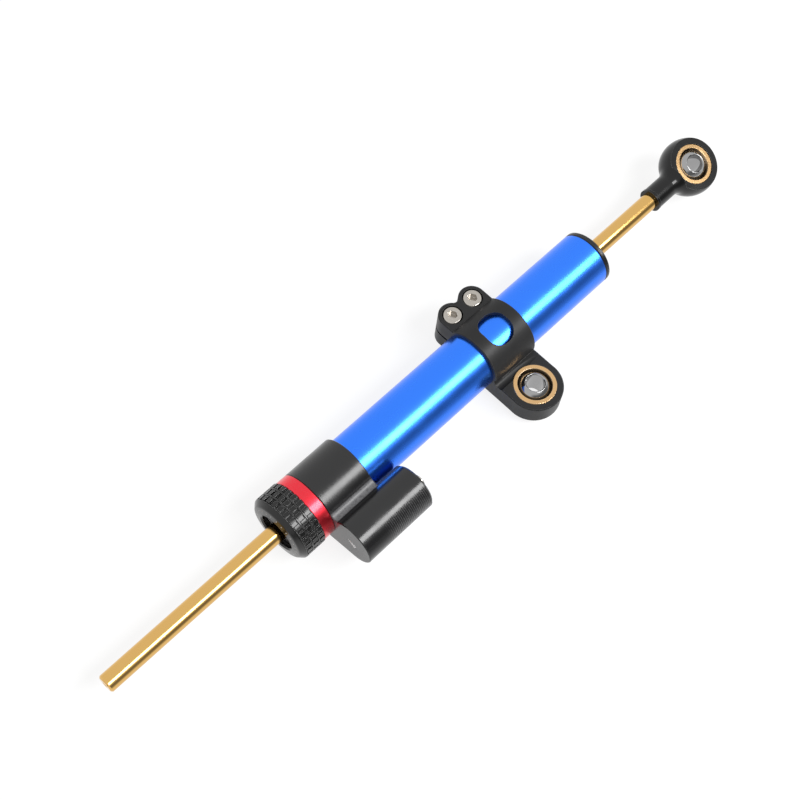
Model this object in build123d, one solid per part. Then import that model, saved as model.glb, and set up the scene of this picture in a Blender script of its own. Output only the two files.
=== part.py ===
from build123d import *
import math
import os

# Motorcycle steering damper, in millimetres.
# The origin is the centre of the spherical bearing in the clamp. +Z runs along that bearing's bore, and +X
# runs along the damper towards the rod end. Turned pieces are drawn about X, then moved to their own axis.

# Clearances
running_gap = 0.05  # radial, between pieces that slide or turn in one another
seat_gap = 0.02  # radial, between pieces that are pressed or screwed together
seal_gap = 0.03  # between a sealing ring and the wall of its groove
face_gap = 0.1  # along an axis, between faces that turn past each other
overrun = 1.0  # how far a cutting solid runs past the face that it opens

# Where the axes lie
axis_offset = 26.6  # from the clamp's bearing to the damper's axis, along Y
axis_height = 6.7  # from the bearing's middle up to the damper's axis
reservoir_offset = 24.1  # from the damper's axis to the reservoir's axis, back along Y
reservoir_rise = 1.0  # the reservoir's axis above the damper's axis
reservoir_spacing = math.hypot(reservoir_offset, reservoir_rise)
reservoir_angle = 180 - math.degrees(math.atan2(reservoir_rise, reservoir_offset))

# Cylinder tube
tube_radius = 13.0
tube_wall = 2.0
tube_front_x = 61.9
tube_shown_length = 146.5
tube_seat_depth = 13.0  # how far the tube goes into the collar
tube_edge = 0.4
tube_bore = tube_radius - tube_wall
collar_front_x = tube_front_x - tube_shown_length
tube_back_x = collar_front_x - tube_seat_depth

# Piston rod
rod_radius = 4.0
rod_shown_front = 43.5  # bare rod between the front cap and the rod end
rod_shown_back = 88.0  # bare rod that sticks out of the knob
rod_end_depth = 13.0  # how far the rod is screwed into the rod end
rod_edge = 0.7
rod_hole_radius = 4.2
rod_dimple_radius = 1.4
rod_dimple_depth = 1.0

# Front gland
gland_cap_length = 2.5
gland_cap_edge = 0.6
gland_plug_length = 14.0
bush_radius = 5.5
front_bush_length = 8.0
front_pocket_radius = 6.5
front_pocket_wall = 1.5  # between the bush and the seal
front_seal_length = 3.5
wiper_recess = 0.2
gland_ring_section = 0.9
gland_ring_inset = 5.5  # from the cap's shoulder to the middle of the groove
groove_width_share = 1.3
cap_face_x = tube_front_x + gland_cap_length
gland_back_x = tube_front_x - gland_plug_length
front_pocket_x = gland_back_x + front_bush_length + front_pocket_wall

# Collar and reservoir, one block
collar_wall = 1.9
collar_length = 23.0
collar_edge = 0.35
valley_radius = 3.0
chamber_radius = 9.5
chamber_depth = 4.0
reservoir_radius = 10.7
reservoir_bore = 8.6
reservoir_reach = 13.3  # how far the reservoir runs past the collar's front face
reservoir_floor = 3.0
reservoir_edge = 0.9
tube_ring_section = 0.55
passage_radius = 0.8
passage_inset = 3.0  # from the tube's back end to the middle of the passage
collar_radius = tube_radius + collar_wall
collar_back_x = collar_front_x - collar_length
chamber_x = tube_back_x - chamber_depth
passage_x = tube_back_x - passage_inset
reservoir_front_x = collar_front_x + reservoir_reach

# Rear guide and seal, inside the spigot
spigot_radius = 7.6
rear_pocket_radius = 6.0
rear_wall = 2.0  # between the oil chamber and the rear bush
rear_bush_length = 6.0
rear_seal_length = 4.0
rear_bush_x = chamber_x - rear_wall
rear_seal_x = rear_bush_x - rear_bush_length
rear_seal_end_x = rear_seal_x - rear_seal_length

# Index ring
ring_width = 5.7
ring_edge = 0.3
ring_back_x = collar_back_x - ring_width

# Adjuster knob
knob_overhang = 0.4  # how far the knob stands out past the collar
knob_length = 12.6
knob_seat_length = 7.6  # the part of the knob that turns on the spigot
knob_mouth_radius = 8.6
knob_mouth_edge = 0.6
knob_rim_width = 2.1
knob_face_drop = 0.5  # how much the face falls back from its mouth to its rim
knob_rim_round = 1.5
knurl_rows = 3
knurl_count = 28
knurl_length = 2.4
knurl_depth = 0.9
knurl_notch = 1.5
knurl_groove = 0.32
knurl_groove_depth = 1.05
knurl_ridge = 0.5
knob_radius = collar_radius + knob_overhang
knob_face_radius = knob_radius - knob_rim_width
knob_back_x = ring_back_x - face_gap
knob_step_x = knob_back_x - knob_seat_length
knob_face_x = knob_back_x - knob_length
spigot_end_x = knob_step_x - face_gap
knurl_pitch = knurl_length + knurl_ridge + 2 * knurl_groove

# Gland nut
nut_flange_radius = 8.3
nut_flange_length = 2.4
nut_slot_width = 4.6
nut_slot_depth = 1.7
nut_edge = 0.4
rear_wiper_length = 2.0
nut_face_x = spigot_end_x - nut_flange_length

# Bypass needle and the knob's stepped cam
click_count = 24
click_angle = 13.5
needle_inset = 3.0  # from the collar's outside to the needle's axis
needle_radius = 1.1
needle_travel = 2.0
needle_end_wall = 2.0  # from the tube's back end to the end of the needle's bore
needle_tip_gap = 0.2
needle_tip_edge = 0.5
needle_ring_section = 0.2
needle_ring_inset = 2.5
cam_width = 2.6
cam_low = 0.6  # depth of the shallowest step
cam_gap = 0.15
needle_circle = collar_radius - needle_inset
needle_bore_end_x = tube_back_x - needle_end_wall
needle_tip_x = needle_bore_end_x - needle_tip_gap - needle_travel / 2
needle_back_x = knob_back_x - cam_low - needle_travel / 2 + cam_gap

# Detent
detent_inset = 1.7  # from the spigot's outside to the detent's axis
detent_ball_radius = 0.9
detent_dimple_depth = 0.35
detent_wire_radius = 0.14
detent_turns = 5
detent_circle = spigot_radius + detent_inset
detent_angle = reservoir_angle - 180
detent_ball_x = ring_back_x + detent_ball_radius + running_gap

# Reservoir's inside
floating_piston_x = -90.0
floating_piston_length = 8.0
floating_ring_section = 0.9
floating_dish_radius = 5.5
floating_dish_depth = 3.0
cap_thickness = 5.0
cap_ring_section = 0.9
circlip_thickness = 0.9
circlip_inset = 0.4  # from the reservoir's mouth to the ring
circlip_bite = 0.6  # how far the ring reaches into the wall
circlip_inner_radius = 7.1
circlip_gap_width = 4.0
fill_screw_radius = 2.0
fill_screw_length = 4.0
fill_head_radius = 3.2
fill_head_length = 4.3
fill_head_edge = 0.4
fill_socket_radius = 1.7
fill_socket_depth = 2.0
circlip_front_x = reservoir_front_x - circlip_inset
cap_front_x = circlip_front_x - circlip_thickness
cap_back_x = cap_front_x - cap_thickness

# Piston
piston_x = -46.0
piston_length = 12.0
piston_gap = 0.2
piston_edge = 0.5
wear_ring_width = 5.6
wear_ring_wall = 1.2
wear_ring_play = 0.1
wear_ring_split = 0.8
piston_ring_section = 0.5
orifice_count = 4
orifice_radius = 0.8
orifice_circle = 7.0
clip_thickness = 0.8
clip_bite = 0.5
clip_wall = 1.5
clip_opening = 2.6

# Spherical bearings
race_radius = 9.6
race_width = 10.4
race_mouth_radius = 7.7
race_lip_radius = 7.05
race_lip_height = 3.8
race_edge = 0.25
ball_radius = 7.95
ball_width = 13.0
ball_bore = 4.0
ball_bore_edge = 0.4

# Rod end
head_radius = 13.6
head_thickness = 11.0
head_centre_x = 135.5
neck_radius = 5.4
neck_lip_radius = 5.6
neck_lip_length = 1.3
neck_blend = 6.0
rod_end_turn = 24.7  # degrees about the damper's axis, as it lies
neck_start_x = cap_face_x + rod_shown_front
rod_front_x = neck_start_x + rod_end_depth
rod_back_x = knob_face_x - rod_shown_back

# Clamp
clamp_width = 24.9
clamp_wall = 1.9
clamp_edge = 0.4
eye_radius = 12.5
eye_thickness = 10.0
ear_radius = 6.25
screw_tube_gap = 0.45  # between the screws' heads and the tube, seen along the screws
ear_height = 9.0  # above and below the damper's axis
ear_notch_round = 2.2
slit_width = 1.2
slit_drop = 0.5
window_length = 15.3
window_width = 13.5
window_corner = 6.0
window_shift = 1.0
scallop_radius = 2.6
scallop_depth = 0.5  # into the arm's top face, at the middle of the scallop's length
scallop_bite = 0.4  # into the ring, at the middle of the scallop's length
scallop_tilt = 2.6
scallop_swing = 2.3
screw_radius = 2.5
screw_hole_gap = 0.1
screw_length = 12.0
screw_head_radius = 4.25
screw_head_height = 5.0
screw_head_edge = 0.45
screw_pocket_gap = 0.35
screw_socket_radius = 2.3
screw_socket_depth = 2.6
clamp_radius = tube_radius + clamp_wall
ear_reach = tube_radius + screw_head_radius + screw_tube_gap  # from the damper's axis to the screws
ear_spacing = clamp_width - 2 * ear_radius
ear_top_z = axis_height + ear_height
ear_bottom_z = axis_height - ear_height

damper_axis = Pos(0, axis_offset, axis_height)
reservoir_axis = Pos(0, axis_offset - reservoir_offset, axis_height + reservoir_rise)


def turned(points):
    """An outline of (x, radius) points turned about the X axis."""
    return revolve(make_face(Polyline(*points, close=True)), Axis.X)


def bar(radius, start_x, end_x):
    """A plain round bar along X."""
    middle = Pos((start_x + end_x) / 2, 0, 0) * Rot(0, 90, 0)
    return middle * Cylinder(radius, abs(end_x - start_x))


def sleeve(inner, outer, start_x, end_x):
    """A plain sleeve along X."""
    return turned([(start_x, inner), (end_x, inner), (end_x, outer), (start_x, outer)])


def edged_sleeve(inner, outer, start_x, end_x, edge):
    """A sleeve along X, start before end, with chamfers on its two outer edges."""
    return turned(
        [
            (start_x, inner),
            (end_x, inner),
            (end_x, outer - edge),
            (end_x - edge, outer),
            (start_x + edge, outer),
            (start_x, outer - edge),
        ]
    )


def ring_groove(wall_radius, section, x):
    """The cut that holds a sealing ring, open outwards."""
    half = section * groove_width_share
    floor = wall_radius - 2 * (section + seal_gap)
    return sleeve(floor, wall_radius + overrun, x - half, x + half)


def sealing_ring(wall_radius, section, x):
    """A round sealing ring that runs against a bore of the given radius."""
    return Pos(x, 0, 0) * Rot(0, 90, 0) * Torus(wall_radius - seal_gap - section, section)


def lip_seal(outer, start_x, end_x, notch_x):
    """A rod seal: a ring with a groove in the face at notch_x, which faces the oil."""
    inner = rod_radius + running_gap
    wall = outer - inner
    depth = (end_x - start_x) / 2
    inward = math.copysign(depth, (start_x + end_x) / 2 - notch_x)
    ring = sleeve(inner, outer, start_x, end_x)
    groove = [
        (notch_x, inner + wall / 4),
        (notch_x, outer - wall / 4),
        (notch_x + inward, outer - wall / 2),
    ]
    return ring - turned(groove)


def hexagon_bar(radius, start_x, end_x):
    """A hexagonal bar along X."""
    section = Plane.YZ.offset(start_x) * RegularPolygon(radius, 6)
    return extrude(section, end_x - start_x)


def cylinder_tube():
    """The blue tube."""
    return edged_sleeve(tube_bore, tube_radius, tube_back_x, tube_front_x, tube_edge)


def front_gland():
    """The plug in the tube's front end, with the cap that shows."""
    plug = bar(tube_bore - seat_gap, gland_back_x, tube_front_x)
    cap = edged_sleeve(rod_hole_radius, tube_radius, tube_front_x, cap_face_x, gland_cap_edge)
    gland = plug + cap
    gland -= bar(rod_hole_radius, gland_back_x - overrun, cap_face_x + overrun)
    gland -= bar(bush_radius + seat_gap, gland_back_x - overrun, gland_back_x + front_bush_length)
    gland -= bar(front_pocket_radius, front_pocket_x, cap_face_x + overrun)
    return gland - ring_groove(tube_bore, gland_ring_section, tube_front_x - gland_ring_inset)


def front_gland_o_ring():
    """The ring that seals the gland to the tube."""
    return sealing_ring(tube_bore, gland_ring_section, tube_front_x - gland_ring_inset)


def front_bush():
    """The rod's guide in the front gland."""
    inner = rod_radius + running_gap
    return sleeve(inner, bush_radius, gland_back_x, gland_back_x + front_bush_length)


def front_rod_seal():
    """The front oil seal, with its groove towards the oil."""
    outer = front_pocket_radius - seat_gap
    return lip_seal(outer, front_pocket_x, front_pocket_x + front_seal_length, front_pocket_x)


def front_wiper():
    """The rubber ring round the rod in the cap, with a lip that narrows outwards."""
    start_x = front_pocket_x + front_seal_length + face_gap
    end_x = cap_face_x - wiper_recess
    inner = rod_radius + running_gap
    outer = front_pocket_radius - seat_gap
    middle_x = (start_x + end_x) / 2
    lip = (inner + outer) / 2
    return turned([(start_x, inner), (end_x, inner), (middle_x, lip), (end_x, outer), (start_x, outer)])


def block_section():
    """The block's section: the collar's circle, the reservoir's circle and the web between them.

    The web is flat below, on the line that touches both circles.
    It is hollow above, on an arc that touches both.
    """
    lean = math.acos((collar_radius - reservoir_radius) / reservoir_spacing)
    touch_x = math.cos(lean)
    touch_y = math.sin(lean)
    below = Polyline(
        (0, 0),
        (collar_radius * touch_x, collar_radius * touch_y),
        (reservoir_spacing + reservoir_radius * touch_x, reservoir_radius * touch_y),
        (reservoir_spacing, 0),
        close=True,
    )
    far = collar_radius + valley_radius
    near = reservoir_radius + valley_radius
    valley_x = (far**2 - near**2 + reservoir_spacing**2) / (2 * reservoir_spacing)
    valley_y = -math.sqrt(far**2 - valley_x**2)
    above = make_face(Polyline((0, 0), (reservoir_spacing, 0), (valley_x, valley_y), close=True))
    above -= Pos(valley_x, valley_y) * Circle(valley_radius)
    circles = Circle(collar_radius) + Pos(reservoir_spacing, 0) * Circle(reservoir_radius)
    return circles + make_face(below) + above


def block_plane(x):
    """A plane across the damper at x, with its own X axis towards the reservoir."""
    turn = math.radians(reservoir_angle)
    return Plane(origin=(x, 0, 0), x_dir=(0, math.cos(turn), math.sin(turn)), z_dir=(1, 0, 0))


def reservoir_block():
    """The collar, the reservoir's barrel and the spigot, in one piece."""
    body = extrude(block_plane(collar_back_x) * block_section(), collar_length)
    ends = body.faces().sort_by(Axis.X)
    body = chamfer(ends[0].edges() + ends[-1].edges(), collar_edge)
    barrel_back_x = collar_back_x + collar_edge
    barrel = edged_sleeve(0, reservoir_radius, barrel_back_x, reservoir_front_x, reservoir_edge)
    to_reservoir = Pos(0, -reservoir_offset, reservoir_rise)
    body += to_reservoir * barrel
    body += bar(spigot_radius, spigot_end_x, collar_back_x + overrun)
    body -= bar(tube_radius + seat_gap, tube_back_x, collar_front_x + overrun)
    body -= bar(chamber_radius, chamber_x, tube_back_x + overrun)
    body -= bar(rod_hole_radius, spigot_end_x - overrun, tube_back_x)
    body -= bar(rear_pocket_radius, spigot_end_x - overrun, rear_bush_x)
    body -= tube_ring_groove()
    hollow = bar(reservoir_bore, collar_back_x + reservoir_floor, reservoir_front_x + overrun)
    hollow += bar(reservoir_bore + circlip_bite, cap_front_x, circlip_front_x)
    body -= to_reservoir * hollow
    body -= needle_place() * bar(needle_radius + running_gap, collar_back_x - overrun, needle_bore_end_x)
    return body - passage()


def tube_ring_groove():
    """The groove in the shoulder behind the tube's end."""
    middle = tube_radius - tube_wall / 2
    half = tube_ring_section + seal_gap
    return sleeve(middle - half, middle + half, tube_back_x - 2 * half, tube_back_x + overrun)


def tube_o_ring():
    """The ring between the tube's back end and the block."""
    middle_x = tube_back_x - tube_ring_section - seal_gap
    return Pos(middle_x, 0, 0) * Rot(0, 90, 0) * Torus(tube_radius - tube_wall / 2, tube_ring_section)


def passage():
    """The drilled way from the oil chamber to the reservoir."""
    turn = math.radians(reservoir_angle)
    outwards = Plane(origin=(passage_x, 0, 0), z_dir=(0, math.cos(turn), math.sin(turn)))
    start = chamber_radius - overrun
    from_the_foot = (Align.CENTER, Align.CENTER, Align.MIN)
    drill = Cylinder(passage_radius, reservoir_spacing - start, align=from_the_foot)
    return outwards * Pos(0, 0, start) * drill


def needle_place():
    """Moves a piece from the damper's axis to the needle's."""
    return Rot(reservoir_angle, 0, 0) * Pos(0, needle_circle, 0)


def detent_place():
    """Moves a piece from the damper's axis to the detent's, opposite the needle."""
    return Rot(detent_angle, 0, 0) * Pos(0, detent_circle, 0)


def rear_bush():
    """The rod's guide in the block."""
    inner = rod_radius + running_gap
    return sleeve(inner, rear_pocket_radius - seat_gap, rear_seal_x, rear_bush_x)


def rear_rod_seal():
    """The rear oil seal, with its groove towards the oil."""
    front_x = rear_seal_x - face_gap
    return lip_seal(rear_pocket_radius - seat_gap, rear_seal_end_x, front_x, front_x)


def gland_nut():
    """The slotted nut that shows in the knob's mouth and holds the knob on."""
    body = bar(rear_pocket_radius - seat_gap, spigot_end_x, rear_seal_end_x - face_gap)
    flange = edged_sleeve(rod_hole_radius, nut_flange_radius, nut_face_x, spigot_end_x, nut_edge)
    nut = flange + body
    nut -= bar(rod_hole_radius, nut_face_x - overrun, rear_seal_end_x + overrun)
    nut -= bar(rear_pocket_radius - nut_edge, nut_face_x - overrun, nut_face_x + rear_wiper_length)
    outer = nut_flange_radius + overrun
    depth = nut_slot_depth + overrun
    slot = Box(depth, 2 * outer, nut_slot_width)
    return nut - Pos(nut_face_x + nut_slot_depth - depth / 2, 0, 0) * slot


def rear_wiper():
    """The rubber ring round the rod in the gland nut."""
    start_x = nut_face_x + wiper_recess
    end_x = nut_face_x + rear_wiper_length
    inner = rod_radius + running_gap
    outer = rear_pocket_radius - nut_edge - seat_gap
    lip = (inner + outer) / 2
    middle_x = (start_x + end_x) / 2
    return turned([(start_x, inner), (end_x, inner), (end_x, outer), (start_x, outer), (middle_x, lip)])


def index_ring():
    """The red ring, with its holes for the needle and the detent."""
    ring = edged_sleeve(spigot_radius + seat_gap, collar_radius, ring_back_x, collar_back_x, ring_edge)
    ring -= needle_place() * bar(needle_radius + running_gap, ring_back_x - overrun, collar_back_x + overrun)
    hole = detent_ball_radius + running_gap
    return ring - detent_place() * bar(hole, ring_back_x - overrun, collar_back_x + overrun)


def knob_body():
    """The knob before its knurling: bored in two steps, with a rounded rim."""
    inner = spigot_radius + running_gap
    rim_x = knob_face_x + knob_face_drop
    outline = make_face(
        Polyline(
            (knob_back_x, inner),
            (knob_step_x, inner),
            (knob_step_x, knob_mouth_radius),
            (knob_face_x + knob_mouth_edge, knob_mouth_radius),
            (knob_face_x, knob_mouth_radius + knob_mouth_edge),
            (rim_x, knob_face_radius),
            (rim_x + knob_radius - knob_face_radius, knob_radius),
            (knob_back_x, knob_radius),
            close=True,
        )
    )
    corners = outline.vertices().sort_by(Axis.Y)[-3:].sort_by(Axis.X)[:2]
    return revolve(fillet(corners, knob_rim_round), Axis.X)


def knurl_cuts():
    """The grooves round the knob and the notches that part its rows into blocks."""
    floor = knob_radius - knurl_depth
    groove_floor = knob_radius - knurl_groove_depth
    outer = knob_radius + overrun
    cuts = []
    for row in range(knurl_rows):
        start_x = knob_back_x - row * knurl_pitch
        end_x = start_x - knurl_length
        cuts.append(sleeve(groove_floor, outer, end_x - knurl_groove, end_x))
        if row + 1 < knurl_rows:
            next_x = start_x - knurl_pitch
            cuts.append(sleeve(groove_floor, outer, next_x, next_x + knurl_groove))
        length = knurl_length + knurl_groove
        middle_x = (start_x + end_x) / 2
        notch = Pos(middle_x, (floor + outer) / 2, 0) * Box(length, outer - floor, knurl_notch)
        for place in range(knurl_count):
            cuts.append(Rot(360 * place / knurl_count, 0, 0) * notch)
    return cuts


def cam_cuts():
    """The stepped track that sets the needle, one sector for each click."""
    inner = needle_circle - cam_width / 2
    outer = needle_circle + cam_width / 2
    cuts = []
    for click in range(click_count + 1):
        depth = cam_low + needle_travel * click / click_count
        outline = Polyline(
            (knob_back_x - depth, inner),
            (knob_back_x + overrun, inner),
            (knob_back_x + overrun, outer),
            (knob_back_x - depth, outer),
            close=True,
        )
        sector = revolve(make_face(outline), Axis.X, revolution_arc=click_angle)
        turn = reservoir_angle + (click - click_count / 2 - 1 / 2) * click_angle
        cuts.append(Rot(turn, 0, 0) * sector)
    return cuts


def dimple_cuts():
    """The dimples that the detent ball clicks in."""
    centre_x = knob_back_x + detent_ball_radius - detent_dimple_depth
    dimple = Pos(centre_x, detent_circle, 0) * Sphere(detent_ball_radius)
    cuts = []
    for click in range(click_count + 1):
        turn = detent_angle + (click - click_count / 2) * click_angle
        cuts.append(Rot(turn, 0, 0) * dimple)
    return cuts


def adjuster_knob():
    """The knurled knob, with the cam and the dimples in its back face."""
    return knob_body() - (knurl_cuts() + cam_cuts() + dimple_cuts())


def bypass_needle():
    """The pin that the knob's cam pushes over the passage."""
    tip_radius = needle_radius - needle_tip_edge
    pin = turned(
        [
            (needle_back_x, 0),
            (needle_back_x, needle_radius),
            (needle_tip_x - needle_tip_edge, needle_radius),
            (needle_tip_x, tip_radius),
            (needle_tip_x, 0),
        ]
    )
    bore = needle_radius + running_gap
    pin -= ring_groove(bore, needle_ring_section, collar_back_x + needle_ring_inset)
    return needle_place() * pin


def needle_o_ring():
    """The ring that seals the needle in the block."""
    bore = needle_radius + running_gap
    return needle_place() * sealing_ring(bore, needle_ring_section, collar_back_x + needle_ring_inset)


def detent_ball():
    """The ball that clicks in the knob's dimples."""
    return detent_place() * Pos(detent_ball_x, 0, 0) * Sphere(detent_ball_radius)


def detent_spring():
    """The spring behind the ball, wound in half turns."""
    mean_radius = detent_ball_radius - detent_wire_radius
    start_x = detent_ball_x + detent_ball_radius + detent_wire_radius
    end_x = collar_back_x - detent_wire_radius - seal_gap
    step = (end_x - start_x) / (2 * detent_turns)

    def coil_point(half_turns):
        angle = math.pi * half_turns
        return (
            start_x + half_turns * step,
            mean_radius * math.cos(angle),
            mean_radius * math.sin(angle),
        )

    arcs = []
    for half in range(2 * detent_turns):
        arcs.append(ThreePointArc(coil_point(half), coil_point(half + 1 / 2), coil_point(half + 1)))
    wire = Wire(arcs)
    section = Plane(origin=wire @ 0, z_dir=wire % 0) * Circle(detent_wire_radius)
    print("detent spring: least gap between turns", round(2 * step - 2 * detent_wire_radius, 3))
    return detent_place() * sweep(section, path=wire)


def floating_piston():
    """The piston between the oil and the gas, hollow on the gas side."""
    start_x = floating_piston_x - floating_piston_length / 2
    end_x = floating_piston_x + floating_piston_length / 2
    piston = edged_sleeve(0, reservoir_bore - running_gap, start_x, end_x, piston_edge)
    piston -= bar(floating_dish_radius, end_x - floating_dish_depth, end_x + overrun)
    return piston - ring_groove(reservoir_bore, floating_ring_section, floating_ring_x())


def floating_ring_x():
    """The middle of the floating piston's groove, in its solid half."""
    return floating_piston_x - floating_piston_length / 4


def floating_piston_o_ring():
    """The ring that seals the floating piston."""
    return sealing_ring(reservoir_bore, floating_ring_section, floating_ring_x())


def reservoir_cap():
    """The disc that closes the reservoir."""
    cap = bar(reservoir_bore - seat_gap, cap_back_x, cap_front_x)
    cap -= ring_groove(reservoir_bore, cap_ring_section, (cap_back_x + cap_front_x) / 2)
    return cap - bar(fill_screw_radius + seat_gap, cap_back_x - overrun, cap_front_x + overrun)


def reservoir_cap_o_ring():
    """The ring that seals the cap."""
    return sealing_ring(reservoir_bore, cap_ring_section, (cap_back_x + cap_front_x) / 2)


def reservoir_circlip():
    """The open spring ring that holds the cap in."""
    outer = reservoir_bore + circlip_bite - seal_gap
    ring = sleeve(circlip_inner_radius, outer, cap_front_x, circlip_front_x - seal_gap)
    middle_x = (cap_front_x + circlip_front_x) / 2
    opening = Box(2 * circlip_thickness, outer, circlip_gap_width)
    return ring - Pos(middle_x, -outer, 0) * opening


def fill_screw():
    """The bright screw in the cap's centre."""
    head_end_x = cap_front_x + fill_head_length
    head = edged_sleeve(0, fill_head_radius, cap_front_x, head_end_x, fill_head_edge)
    screw = head + bar(fill_screw_radius, cap_front_x - fill_screw_length, cap_front_x)
    return screw - hexagon_bar(fill_socket_radius, head_end_x - fill_socket_depth, head_end_x + overrun)


def clip_places():
    """The two stations at the piston's ends where its rings start."""
    return [piston_x - piston_length / 2 - clip_thickness, piston_x + piston_length / 2]


def piston_rod():
    """The gold rod, with the grooves that hold the piston and a drilled centre at its free end."""
    rod = turned(
        [
            (rod_back_x, 0),
            (rod_back_x, rod_radius - rod_edge),
            (rod_back_x + rod_edge, rod_radius),
            (rod_front_x - rod_edge, rod_radius),
            (rod_front_x, rod_radius - rod_edge),
            (rod_front_x, 0),
        ]
    )
    for start_x in clip_places():
        rod -= sleeve(rod_radius - clip_bite, rod_radius + overrun, start_x, start_x + clip_thickness)
    centre = [(rod_back_x, 0), (rod_back_x, rod_dimple_radius), (rod_back_x + rod_dimple_depth, 0)]
    return rod - turned(centre)


def piston_circlips():
    """The two open rings that hold the piston on the rod."""
    inner = rod_radius - clip_bite + seal_gap
    outer = rod_radius + clip_wall
    clips = []
    for start_x in clip_places():
        ring = sleeve(inner, outer, start_x + seal_gap, start_x + clip_thickness - seal_gap)
        middle_x = start_x + clip_thickness / 2
        clips.append(ring - Pos(middle_x, outer, 0) * Box(2 * clip_thickness, outer, clip_opening))
    return clips[0] + clips[1]


def piston():
    """The piston, with its orifices and the grooves for its rings."""
    start_x = piston_x - piston_length / 2
    end_x = piston_x + piston_length / 2
    body = edged_sleeve(rod_radius + seat_gap, tube_bore - piston_gap, start_x, end_x, piston_edge)
    half = wear_ring_width / 2 + wear_ring_play
    floor = tube_bore - running_gap - wear_ring_wall - wear_ring_play
    body -= sleeve(floor, tube_bore + overrun, piston_x - half, piston_x + half)
    seal_floor = rod_radius + 2 * (piston_ring_section + seal_gap)
    half_seal = piston_ring_section * groove_width_share
    body -= sleeve(rod_radius, seal_floor, piston_x - half_seal, piston_x + half_seal)
    orifice = Pos(0, orifice_circle, 0) * bar(orifice_radius, start_x - overrun, end_x + overrun)
    for place in range(orifice_count):
        body -= Rot(360 * place / orifice_count, 0, 0) * orifice
    return body


def piston_seal():
    """The ring between the piston and the rod."""
    middle = rod_radius + seal_gap + piston_ring_section
    return Pos(piston_x, 0, 0) * Rot(0, 90, 0) * Torus(middle, piston_ring_section)


def piston_wear_ring():
    """The split ring that guides the piston in the tube."""
    outer = tube_bore - running_gap
    half = wear_ring_width / 2
    ring = sleeve(outer - wear_ring_wall, outer, piston_x - half, piston_x + half)
    split = Box(wear_ring_width + overrun, wear_ring_split, 2 * outer)
    return ring - Pos(piston_x, 0, outer) * split


def bearing_race():
    """The outer ring of a spherical bearing, about Z: a hollow ball seat with a bevelled mouth each side."""
    seat = ball_radius + running_gap
    half = race_width / 2
    outer = race_radius - seat_gap
    ring = Cylinder(outer, race_width)
    ring = chamfer(ring.edges().filter_by(GeomType.CIRCLE), race_edge)
    ring -= Sphere(seat)
    mouth = [
        (0, race_lip_height),
        (race_lip_radius, race_lip_height),
        (race_mouth_radius, half),
        (race_mouth_radius, half + overrun),
        (0, half + overrun),
    ]
    bevel = revolve(Plane.XZ * make_face(Polyline(*mouth, close=True)), Axis.Z)
    return ring - bevel - Rot(180, 0, 0) * bevel


def bearing_ball():
    """The ball of a spherical bearing, about Z, with its bolt bore and flat ends."""
    ball = Sphere(ball_radius) & Cylinder(ball_radius + overrun, ball_width)
    ball -= Cylinder(ball_bore, ball_width + overrun)
    circles = ball.edges().filter_by(GeomType.CIRCLE)
    mouth = circles.filter_by(lambda edge: edge.radius < ball_bore + seat_gap)
    return chamfer(mouth, ball_bore_edge)


def rod_end_place():
    """Moves a piece from the origin to the rod end's bearing, turned as the rod end lies."""
    return damper_axis * Pos(head_centre_x, 0, 0) * Rot(rod_end_turn, 0, 0)


def rod_end_housing():
    """The rod end: a ball-shaped head with two flats, blended into a neck for the rod."""
    reach = neck_radius + neck_blend
    blend_x = -math.sqrt((head_radius + neck_blend) ** 2 - reach**2)
    blend_share = head_radius / (head_radius + neck_blend)
    touch = (blend_x * blend_share, reach * blend_share)
    lean = (math.atan2(reach, -blend_x) + math.pi / 2) / 2
    middle = (blend_x + neck_blend * math.cos(lean), reach - neck_blend * math.sin(lean))
    start_x = neck_start_x - head_centre_x
    outline = Polyline(
        touch,
        (touch[0], 0),
        (start_x, 0),
        (start_x, neck_lip_radius),
        (start_x + neck_lip_length, neck_lip_radius),
        (start_x + neck_lip_length + neck_lip_radius - neck_radius, neck_radius),
        (blend_x, neck_radius),
    )
    blend = ThreePointArc((blend_x, neck_radius), middle, touch)
    neck = revolve(make_face([outline, blend]), Axis.X)
    side = 2 * head_radius
    head = Sphere(head_radius) & Box(side, side, head_thickness)
    housing = head + neck
    housing -= Cylinder(race_radius, head_thickness + overrun)
    depth_x = start_x + rod_end_depth + rod_edge
    return housing - bar(rod_radius + seat_gap, start_x - overrun, depth_x)


def eye_arm():
    """The flat arm from the ring to the bearing, with its round end."""
    outline = Circle(eye_radius) + Pos(0, axis_offset / 2) * Rectangle(clamp_width, axis_offset)
    arm = Pos(0, 0, -eye_thickness / 2) * extrude(outline, eye_thickness)
    ends = arm.faces().sort_by(Axis.Z)
    return chamfer(ends[0].edges() + ends[-1].edges(), clamp_edge)


def ears():
    """The two screw ears, round-ended and blended where they meet."""
    screw_y = axis_offset + ear_reach
    half = ear_spacing / 2
    outline = Pos(half, screw_y) * Circle(ear_radius) + Pos(-half, screw_y) * Circle(ear_radius)
    outline += Pos(0, axis_offset + ear_reach / 2) * Rectangle(clamp_width, ear_reach)
    notch = outline.vertices().sort_by(Axis.Y)[-1]
    outline = fillet(notch, ear_notch_round)
    block = Pos(0, 0, ear_bottom_z) * extrude(outline, ear_top_z - ear_bottom_z)
    ends = block.faces().sort_by(Axis.Z)
    return chamfer(ends[0].edges() + ends[-1].edges(), clamp_edge)


def screw_places():
    """Where the two clamp screws stand, at the ears' top face."""
    screw_y = axis_offset + ear_reach
    return [Pos(side * ear_spacing / 2, screw_y, ear_top_z) for side in (-1, 1)]


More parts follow.
